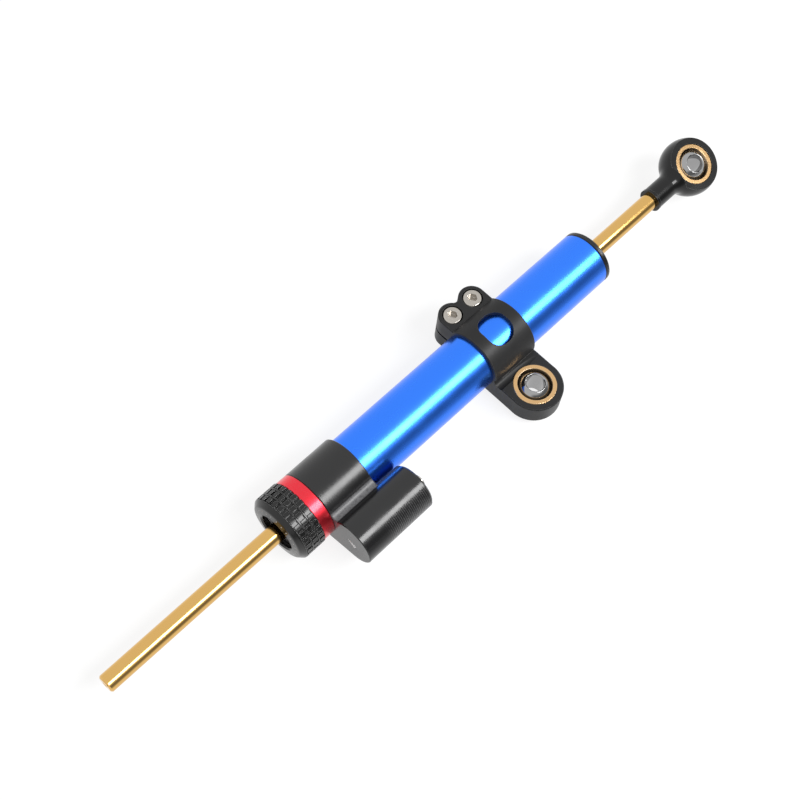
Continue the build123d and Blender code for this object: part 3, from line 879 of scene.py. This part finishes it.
BRONZE_CLAMP_RACE = Finish(
    "bronze_clamp_race",
    (0.66, 0.42, 0.2),
    roughness=0.26,
    worn_colour=(1.0, 0.9, 0.7),
    wear=0.9,
    turning=TurningAxis.ALONG_Z,
    # painted shade in the race's hollow mouth round the ball
    extra=PaintedShadeInRaceMouth("clamp_race"),
)
BRONZE_ROD_END_RACE = Finish(
    "bronze_rod_end_race",
    (0.36, 0.23, 0.11),
    roughness=0.26,
    worn_colour=(0.9, 0.75, 0.5),
    wear=0.9,
    marks=0.001 * MM,
    # painted shade in the race's hollow mouth round the ball
    extra=PaintedShadeInRaceMouth("rod_end_race"),
)
CHROME = Finish(
    "chrome_ball",
    (0.36, 0.36, 0.362),
    roughness=0.08,
    wear=0.7,
    marks=0.001 * MM,
    variation=0.03,
    turning=TurningAxis.ALONG_Z,
)
NUT = Finish(
    "dark_gland_nut",
    (0.10, 0.10, 0.11),
    metallic=0.6,
    roughness=0.25,
    wear=0.9,
)
ALUMINIUM = Finish("turned_aluminium", (0.72, 0.72, 0.74), roughness=0.28)
RUBBER = Finish(
    "seal_rubber",
    (0.018, 0.018, 0.018),
    metallic=0.0,
    roughness=0.6,
    worn_colour=(0.06, 0.06, 0.06),
    specular=0.4,
)
PLASTIC = Finish(
    "guide_plastic",
    (0.30, 0.20, 0.10),
    metallic=0.0,
    roughness=0.5,
    worn_colour=(0.4, 0.3, 0.2),
    specular=0.4,
)
MARKING = Finish(
    "pale_marking",
    (0.85, 0.85, 0.85),
    metallic=0.0,
    roughness=0.5,
    worn_colour=(0.5, 0.5, 0.5),
    wear=0.2,
    specular=0.3,
)

NODES_BY_FINISH: dict[Finish, tuple[str, ...]] = {
    BLUE: ("cylinder_tube",),
    BLACK: ("front_gland", "reservoir_cap"),
    BLACK_BLOCK: ("reservoir_block",),
    BLACK_CLAMP: ("mounting_clamp",),
    BLACK_ROD_END: ("rod_end_housing",),
    BLACK_KNOB: ("adjuster_knob",),
    RED: ("index_ring",),
    GOLD: ("piston_rod",),
    STEEL: (
        "clamp_screws",
        "fill_screw",
        "reservoir_circlip",
        "piston_circlips",
        "bypass_needle",
        "detent_ball",
        "detent_spring",
    ),
    BRONZE: ("front_bush", "rear_bush"),
    BRONZE_CLAMP_RACE: ("clamp_race",),
    BRONZE_ROD_END_RACE: ("rod_end_race",),
    CHROME: ("clamp_ball", "rod_end_ball"),
    NUT: ("gland_nut",),
    ALUMINIUM: ("piston", "floating_piston"),
    RUBBER: (
        "front_wiper",
        "rear_wiper",
        "front_rod_seal",
        "rear_rod_seal",
        "front_gland_o_ring",
        "tube_o_ring",
        "needle_o_ring",
        "piston_seal",
        "floating_piston_o_ring",
        "reservoir_cap_o_ring",
    ),
    PLASTIC: ("piston_wear_ring",),
}


class Wardrobe:
    """Every finish, built once, and the CAD nodes that wear it."""

    def __init__(self) -> None:
        """Builds the shared effects and all the materials."""
        effects = SharedEffects()
        self.materials = {finish: finish.build(effects) for finish in (*NODES_BY_FINISH, MARKING)}

    def dress_nodes(self) -> None:
        """Gives each carried-over CAD node its finish."""
        for finish, nodes in NODES_BY_FINISH.items():
            for node in nodes:
                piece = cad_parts[node]
                piece.data.materials.clear()
                piece.data.materials.append(self.materials[finish])
                log.info("%s wears %s", node, finish.name)


def adopt(piece: bpy.types.Object, body: Body) -> None:
    """Lets a marking ride on a body.

    Args:
        piece: The marking.
        body: The body that carries it.
    """
    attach(piece, body.value)
    log.info("%s rides on %s", piece.name, body.value)


@dataclass
class DialTicks:
    """The raised ticks round the knob's outer face, evenly spaced, with every sixth one longer.

    Attributes:
        material: What the ticks are made of.
        count: How many there are.
        long_every: How many lie from one long one to the next.
        long_stretch: The length of a long one, as a multiple of a short one's.
        ring_radius: The radius of the ring that they stand on.
        length: The length of a short one, outwards.
        width: Their width.
        thickness: Their thickness, most of it sunk in the face.
        proud: How far they stand out of the face.
        face_slope: How far the face falls back for each unit outwards.
        mouth_radius: The radius that it falls back from.
    """

    material: bpy.types.Material
    count: int = 24
    long_every: int = 6
    long_stretch: float = 1.9
    ring_radius: float = 11.3 * MM
    length: float = 0.9 * MM
    width: float = 0.28 * MM
    thickness: float = 0.12 * MM
    proud: float = 0.03 * MM
    face_slope: float = 0.125
    mouth_radius: float = 9.2 * MM

    def build(self) -> bpy.types.Object:
        """Makes the ticks with Geometry Nodes and bakes them to a mesh.

        Returns:
            The ticks, in place.
        """
        knob = PieceBox.of("adjuster_knob")
        face = knob.low.x + (self.ring_radius - self.mouth_radius) * self.face_slope
        sizes = {
            "Count": self.count,
            "Long Every": self.long_every,
            "Ring Radius": self.ring_radius,
            "Tick Size": (self.length, self.width, self.thickness),
            "Slope": -math.atan(self.face_slope),
            "Place": (face + self.thickness / 2 - self.proud, knob.centre.y, knob.centre.z),
        }
        seed = bpy.data.objects.new("tick_seed", bpy.data.meshes.new("tick_seed"))
        bpy.context.scene.collection.objects.link(seed)
        modifier = seed.modifiers.new("ticks", "NODES")
        modifier.node_group = self._tree()
        for item in modifier.node_group.interface.items_tree:
            if item.name in sizes:
                modifier[item.identifier] = sizes[item.name]
        bpy.context.view_layer.update()
        evaluated = seed.evaluated_get(bpy.context.evaluated_depsgraph_get())
        baked = bpy.data.meshes.new_from_object(evaluated)
        seed.modifiers.clear()
        bpy.data.objects.remove(seed)
        ticks = bpy.data.objects.new("knob_click_ticks", baked)
        bpy.context.scene.collection.objects.link(ticks)
        return ticks

    def _tree(self) -> bpy.types.NodeTree:
        """Builds the tree: a ring of points with a tick on each one, stood on the knob's face.

        Returns:
            The Geometry Nodes tree.
        """
        tree = bpy.data.node_groups.new("dial_ticks", "GeometryNodeTree")
        for name, kind in (
            ("Count", SocketKind.WHOLE),
            ("Long Every", SocketKind.WHOLE),
            ("Ring Radius", SocketKind.NUMBER),
            ("Tick Size", SocketKind.VECTOR),
            ("Slope", SocketKind.NUMBER),
            ("Place", SocketKind.VECTOR),
        ):
            tree.interface.new_socket(name, in_out="INPUT", socket_type=kind.value)
        tree.interface.new_socket("Geometry", in_out="OUTPUT", socket_type=SocketKind.GEOMETRY.value)
        wiring = Wiring(tree)
        entry = wiring.add("NodeGroupInput")
        exit_node = wiring.add("NodeGroupOutput")

        spread = self._spread(wiring, entry)
        stand = wiring.add("GeometryNodeTransform")
        stand.inputs["Rotation"].default_value = (0.0, QUARTER_TURN, 0.0)
        wiring.link(spread, stand.inputs["Geometry"])
        wiring.link(entry.outputs["Place"], stand.inputs["Translation"])
        solid = wiring.add("GeometryNodeRealizeInstances")
        wiring.link(stand.outputs[0], solid.inputs[0])
        dressed = wiring.add("GeometryNodeSetMaterial")
        dressed.inputs["Material"].default_value = self.material
        wiring.link(solid.outputs[0], dressed.inputs["Geometry"])
        wiring.link(dressed.outputs[0], exit_node.inputs["Geometry"])
        return tree

    def _spread(self, wiring: Wiring, entry: bpy.types.Node) -> bpy.types.NodeSocket:
        """Puts a tick on each point of the ring, turned outwards and leant with the face.

        Args:
            wiring: The tree's wiring.
            entry: The tree's input node.

        Returns:
            The ring of ticks, flat round Z.
        """
        ring = wiring.add("GeometryNodeMeshCircle")
        wiring.link(entry.outputs["Count"], ring.inputs["Vertices"])
        wiring.link(entry.outputs["Ring Radius"], ring.inputs["Radius"])
        tick = wiring.add("GeometryNodeMeshCube")
        wiring.link(entry.outputs["Tick Size"], tick.inputs["Size"])
        lean = wiring.add("ShaderNodeCombineXYZ")
        wiring.link(entry.outputs["Slope"], lean.inputs["Y"])
        leant = wiring.add("GeometryNodeTransform")
        wiring.link(tick.outputs["Mesh"], leant.inputs["Geometry"])
        wiring.link(lean.outputs[0], leant.inputs["Rotation"])

        place = wiring.add("GeometryNodeInputPosition")
        outwards = wiring.add("FunctionNodeAlignEulerToVector", axis="X", pivot_axis="Z")
        wiring.link(place.outputs[0], outwards.inputs["Vector"])
        spread = wiring.add("GeometryNodeInstanceOnPoints")
        wiring.link(ring.outputs["Mesh"], spread.inputs["Points"])
        wiring.link(leant.outputs[0], spread.inputs["Instance"])
        wiring.link(outwards.outputs[0], spread.inputs["Rotation"])
        wiring.link(self._tick_scale(wiring, entry), spread.inputs["Scale"])
        return spread.outputs[0]

    def _tick_scale(self, wiring: Wiring, entry: bpy.types.Node) -> bpy.types.NodeSocket:
        """Stretches every long tick outwards.

        Args:
            wiring: The tree's wiring.
            entry: The tree's input node.

        Returns:
            Each tick's scale.
        """
        number = wiring.add("GeometryNodeInputIndex").outputs[0]
        left_over = wiring.maths("MODULO", number, entry.outputs["Long Every"])
        is_short = wiring.maths("MINIMUM", left_over, 1.0)
        shortening = wiring.maths("MULTIPLY", is_short, self.long_stretch - 1.0)
        scale = wiring.add("ShaderNodeCombineXYZ")
        wiring.link(wiring.maths("SUBTRACT", self.long_stretch, shortening), scale.inputs["X"])
        scale.inputs["Y"].default_value = 1.0
        scale.inputs["Z"].default_value = 1.0
        return scale.outputs[0]


@dataclass
class ReservoirPointer:
    """The small pale wedge let into the reservoir's back face.

    Attributes:
        material: What the wedge is made of.
        length: Its length, from its tip.
        width: The width of its broad end.
        thickness: Its thickness, most of it sunk in the face.
        proud: How far it stands out of the face.
        heading: The way from its tip to its broad end, as an angle round X from +Y.
    """

    material: bpy.types.Material
    length: float = 5.0 * MM
    width: float = 3.0 * MM
    thickness: float = 0.12 * MM
    proud: float = 0.03 * MM
    heading: float = math.radians(203.0)

    def build(self) -> bpy.types.Object:
        """Makes the wedge.

        Returns:
            The wedge, in place.
        """
        mesh = bmesh.new()
        depth = Vector((self.thickness, 0.0, 0.0))
        corners = self._corners()
        outer = [mesh.verts.new(corner) for corner in corners]
        inner = [mesh.verts.new(corner + depth) for corner in corners]
        mesh.faces.new(outer)
        mesh.faces.new(list(reversed(inner)))
        for place in range(len(corners)):
            after = (place + 1) % len(corners)
            mesh.faces.new((outer[place], inner[place], inner[after], outer[after]))
        bmesh.ops.recalc_face_normals(mesh, faces=mesh.faces)
        data = bpy.data.meshes.new("reservoir_pointer")
        mesh.to_mesh(data)
        mesh.free()
        data.materials.append(self.material)
        wedge = bpy.data.objects.new("reservoir_pointer", data)
        bpy.context.scene.collection.objects.link(wedge)
        return wedge

    def _corners(self) -> list[Vector]:
        """Places the wedge's three outer corners about the reservoir's middle.

        Returns:
            The tip and the two corners of the broad end.
        """
        middle = PieceBox.of("reservoir_cap").centre
        face = PieceBox.of("index_ring").high.x - self.proud
        along = Vector((0.0, math.cos(self.heading), math.sin(self.heading)))
        across = Vector((0.0, -along.z, along.y))
        tip = Vector((face, middle.y, middle.z)) - along * self.length / 2
        end = tip + along * self.length
        return [tip, end + across * self.width / 2, end - across * self.width / 2]


@dataclass
class Studio:
    """The floor, the room, the softbox and the camera.

    Attributes:
        camera_place: Where the camera stands.
        camera_right: The way that is right in its picture.
        camera_up: The way that is up in its picture.
        lens: Its focal length, in millimetres.
        sensor: Its sensor's width, in millimetres.
        clip_start: The nearest that it sees.
        floor_half: Half the floor's side.
        floor_colour: The colour that takes the shadow.
        floor_glow: How bright the floor looks to the camera and in reflections.
        floor_glow_share: How much of what is seen is that glow. The rest takes the shadow.
        floor_dim: From Y to how far the floor has gone dim in reflections.
        softbox_towards: The way to the softbox.
        softbox_distance: How far away it hangs.
        softbox_length: Its long side, along the damper.
        softbox_shift: How far it is moved along the damper.
        softbox_width: Its short side.
        softbox_power: Its power, in watts.
        room_glow: How brightly the room lights the object.
        room_shown: How bright the room looks to the camera and in reflections.
        room_aside: From the sideways part of a direction to how far it lies towards -Y.
        room_low: From the upward part of a direction to how low it lies.
        dark_side: How much of the brightness is left in reflections on the dim side.
    """

    camera_place: Point = (-0.2620, -0.1305, 0.5395)
    camera_right: Point = (0.7007, -0.7108, 0.0621)
    camera_up: Point = (0.6168, 0.6472, 0.4479)
    lens: float = 64.0
    sensor: float = 36.0
    clip_start: float = 10.0 * MM
    floor_half: float = 3.0
    floor_colour: RGB = (0.82, 0.82, 0.82)
    floor_glow: float = 1.13
    floor_glow_share: float = 0.75
    floor_dim: Ramp = Ramp(-0.01, -0.09)
    softbox_towards: Point = (0.3586, -0.541, 0.761)
    softbox_distance: float = 1.5
    softbox_length: float = 1.11
    softbox_shift: float = -0.195
    softbox_width: float = 0.56
    softbox_power: float = 21.0
    room_glow: float = 0.45
    room_shown: float = 1.0
    room_aside: Ramp = Ramp(-0.25, -0.7)
    room_low: Ramp = Ramp(0.35, 0.62, before=1.0, after=0.0)
    dark_side: float = 0.25

    def build(self) -> None:
        """Builds everything round the object."""
        self._floor()
        self._room()
        self._softbox()
        self._camera()
        bpy.context.scene.view_settings.view_transform = "Standard"

    @staticmethod
    def _seen_share(wiring: Wiring) -> bpy.types.NodeSocket:
        """Tells what the camera, a reflection or glass sees from the light that falls on the object.

        Args:
            wiring: The wiring of the floor's material or of the room.

        Returns:
            1 for what is seen, and 0 for light.
        """
        path = wiring.add("ShaderNodeLightPath")
        seen = wiring.maths("ADD", path.outputs["Is Camera Ray"], path.outputs["Is Glossy Ray"])
        return wiring.maths("ADD", seen, path.outputs["Is Transmission Ray"], clamp=True)

    def _lost_in_reflections(self, wiring: Wiring, dim: bpy.types.NodeSocket) -> bpy.types.NodeSocket:
        """Works out the brightness that the dim side loses, which only reflections lose.

        Args:
            wiring: The wiring of the floor's material or of the room.
            dim: 1 on the dim side, and 0 elsewhere.

        Returns:
            The share of the brightness that is lost.
        """
        mirrored = wiring.add("ShaderNodeLightPath").outputs["Is Glossy Ray"]
        return wiring.maths("MULTIPLY", wiring.maths("MULTIPLY", dim, mirrored), 1.0 - self.dark_side)

    def _floor(self) -> None:
        """Makes the pale floor, which looks white and keeps the object's shadow."""
        level = CAD_BOX[0][2]
        half = self.floor_half
        mesh = bmesh.new()
        corners = ((-half, -half), (half, -half), (half, half), (-half, half))
        mesh.faces.new([mesh.verts.new((x, y, level)) for x, y in corners])
        data = bpy.data.meshes.new("floor")
        mesh.to_mesh(data)
        mesh.free()
        data.materials.append(self._floor_material())
        floor = bpy.data.objects.new("floor", data)
        bpy.context.scene.collection.objects.link(floor)

    def _floor_material(self) -> bpy.types.Material:
        """Makes the floor's material: matt to light, and mostly its own glow to the camera.

        Returns:
            The material.
        """
        material = bpy.data.materials.new("white_floor")
        material.use_nodes = True
        nodes = material.node_tree.nodes
        nodes.remove(nodes["Principled BSDF"])
        wiring = Wiring(material.node_tree)
        matt = wiring.add("ShaderNodeBsdfDiffuse")
        matt.inputs["Color"].default_value = opaque(self.floor_colour)
        glow = wiring.add("ShaderNodeEmission")
        wiring.link(self._floor_brightness(wiring), glow.inputs["Strength"])
        mixed = wiring.add("ShaderNodeMixShader")
        share = wiring.maths("MULTIPLY", self._seen_share(wiring), self.floor_glow_share)
        wiring.link(share, mixed.inputs[0])
        wiring.link(matt.outputs[0], mixed.inputs[1])
        wiring.link(glow.outputs[0], mixed.inputs[2])
        wiring.link(mixed.outputs[0], nodes["Material Output"].inputs["Surface"])
        return material

    def _floor_brightness(self, wiring: Wiring) -> bpy.types.NodeSocket:
        """Works out the floor's own glow: even to the camera, and dimmer in reflections towards -Y.

        Args:
            wiring: The floor material's wiring.

        Returns:
            The strength of the glow.
        """
        place = wiring.add("ShaderNodeTexCoord").outputs["Object"]
        dim = wiring.ramped(wiring.axes(place)["Y"], self.floor_dim)
        left = wiring.maths("SUBTRACT", 1.0, self._lost_in_reflections(wiring, dim))
        return wiring.maths("MULTIPLY", left, self.floor_glow)

    def _room(self) -> None:
        """Makes the soft white room, whose side low down towards -Y is dim in reflections alone."""
        world = bpy.data.worlds.new("studio_room")
        bpy.context.scene.world = world
        world.use_nodes = True
        wiring = Wiring(world.node_tree)
        background = world.node_tree.nodes["Background"]
        direction = wiring.axes(wiring.add("ShaderNodeTexCoord").outputs["Generated"])
        aside = wiring.ramped(direction["Y"], self.room_aside)
        low = wiring.ramped(direction["Z"], self.room_low)
        lost = self._lost_in_reflections(wiring, wiring.maths("MULTIPLY", aside, low))
        shown = wiring.maths("SUBTRACT", self.room_shown, lost)
        seen = self._seen_share(wiring)
        light = wiring.maths("MULTIPLY", wiring.maths("SUBTRACT", 1.0, seen), self.room_glow)
        strength = wiring.maths("ADD", light, wiring.maths("MULTIPLY", seen, shown))
        background.inputs["Color"].default_value = opaque(WHITE)
        wiring.link(strength, background.inputs["Strength"])

    def _softbox(self) -> None:
        """Hangs the long softbox that draws the bright band along the damper."""
        towards = Vector(self.softbox_towards).normalized()
        along = (Vector((1.0, 0.0, 0.0)) - towards * towards.x).normalized()
        across = towards.cross(along)
        lamp = bpy.data.lights.new("softbox", "AREA")
        lamp.shape = "RECTANGLE"
        lamp.size = self.softbox_length
        lamp.size_y = self.softbox_width
        lamp.energy = self.softbox_power
        holder = bpy.data.objects.new("softbox", lamp)
        place = towards * self.softbox_distance + along * self.softbox_shift
        holder.matrix_world = self._placed(place, along, across, towards)
        bpy.context.scene.collection.objects.link(holder)

    def _camera(self) -> None:
        """Sets the camera where the photograph was taken from."""
        right = Vector(self.camera_right).normalized()
        up = Vector(self.camera_up)
        up = (up - right * up.dot(right)).normalized()
        data = bpy.data.cameras.new("camera")
        data.lens = self.lens
        data.sensor_width = self.sensor
        data.clip_start = self.clip_start
        camera = bpy.data.objects.new("camera", data)
        camera.matrix_world = self._placed(Vector(self.camera_place), right, up, right.cross(up))
        bpy.context.scene.collection.objects.link(camera)
        bpy.context.scene.camera = camera

    @staticmethod
    def _placed(place: Vector, x_axis: Vector, y_axis: Vector, z_axis: Vector) -> Matrix:
        """Makes a matrix from a place and three axes.

        Args:
            place: Where the object stands.
            x_axis: Its own X axis.
            y_axis: Its own Y axis.
            z_axis: Its own Z axis.

        Returns:
            The object's matrix.
        """
        turned = Matrix((x_axis, y_axis, z_axis)).transposed().to_4x4()
        return Matrix.Translation(place) @ turned


def main() -> None:
    """Dresses the damper, adds its two markings and sets the studio."""
    logging.basicConfig(level=logging.INFO)
    wardrobe = Wardrobe()
    wardrobe.dress_nodes()
    pale = wardrobe.materials[MARKING]
    adopt(DialTicks(pale).build(), Body.ADJUSTER)
    adopt(ReservoirPointer(pale).build(), Body.DAMPER)
    Studio().build()


if __name__ == "__main__":
    main()
